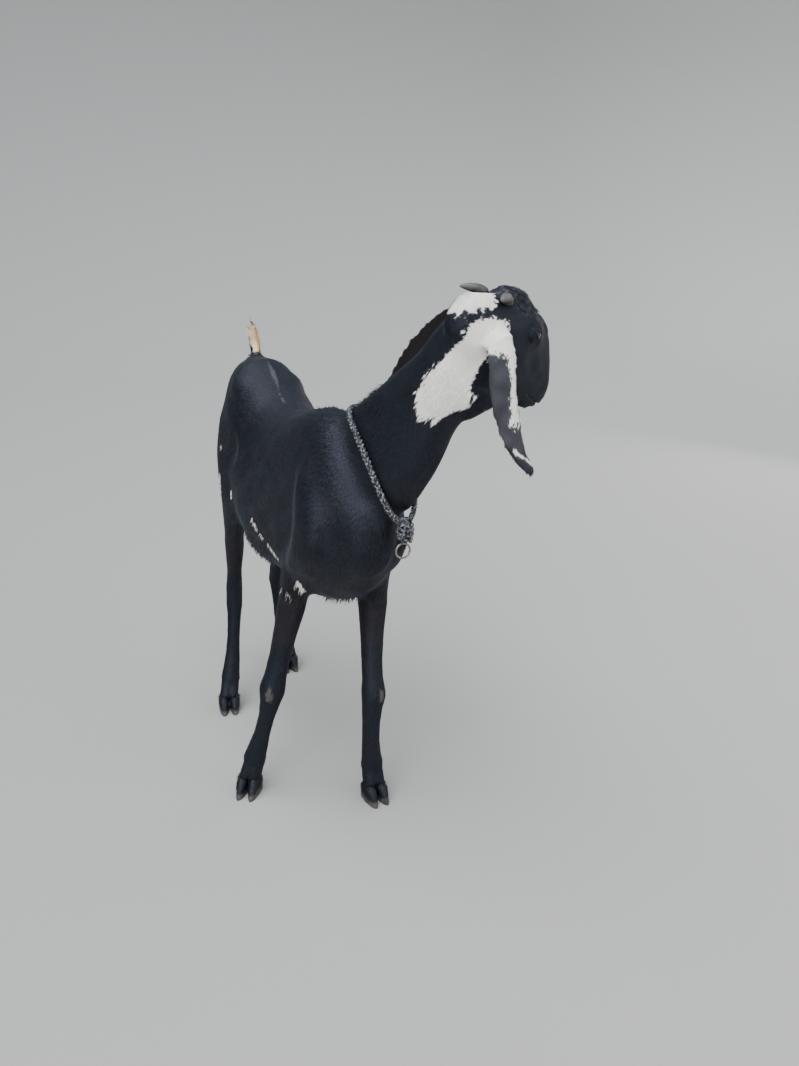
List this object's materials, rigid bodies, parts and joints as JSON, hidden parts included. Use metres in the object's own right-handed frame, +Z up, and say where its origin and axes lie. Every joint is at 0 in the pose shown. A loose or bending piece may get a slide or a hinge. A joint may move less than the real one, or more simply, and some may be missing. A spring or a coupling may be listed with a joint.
{
  "type": "goat",
  "caption": "Life-size still model of a young lop-eared goat, black with white markings, standing with its head turned back, in a plaited rope collar.",
  "frame": {"origin": "middle of the goat's bounding box, on the floor under its feet", "axes": "+Z up, the goat faces -Y, its left side is +X"},
  "size_m": [0.4842, 0.8284, 0.9234],
  "materials": {
    "coat": "short glossy black goat hair",
    "white_coat": "short soft white goat hair",
    "ear_coat": "very short grey-black hair over thin skin",
    "eye": "wet dark amber eye",
    "horn": "grey-brown ringed horn",
    "hoof": "dark grey-brown hoof horn",
    "rope": "grey and black plaited cord",
    "ring_steel": "worn dull steel wire"
  },
  "bodies": {
    "root": {"head": "coat", "neck": "coat", "trunk": "coat", "tail": "white_coat", "ear_right": "ear_coat", "ear_left": "ear_coat", "eye_right": "eye", "eye_left": "eye", "horn_right": "horn", "horn_left": "horn", "fore_right_upper_leg": "coat", "fore_right_lower_leg": "coat", "fore_right_claw_right": "hoof", "fore_right_claw_left": "hoof", "fore_right_dewclaw_right": "hoof", "fore_right_dewclaw_left": "hoof", "fore_left_upper_leg": "coat", "fore_left_lower_leg": "coat", "fore_left_claw_right": "hoof", "fore_left_claw_left": "hoof", "fore_left_dewclaw_right": "hoof", "fore_left_dewclaw_left": "hoof", "hind_right_upper_leg": "coat", "hind_right_lower_leg": "coat", "hind_right_claw_right": "hoof", "hind_right_claw_left": "hoof", "hind_right_dewclaw_right": "hoof", "hind_right_dewclaw_left": "hoof", "hind_left_upper_leg": "coat", "hind_left_lower_leg": "coat", "hind_left_claw_right": "hoof", "hind_left_claw_left": "hoof", "hind_left_dewclaw_right": "hoof", "hind_left_dewclaw_left": "hoof", "collar_rope": "rope", "collar_knot": "rope", "collar_ring_1": "ring_steel", "collar_ring_2": "ring_steel"}
  },
  "joints": []
}
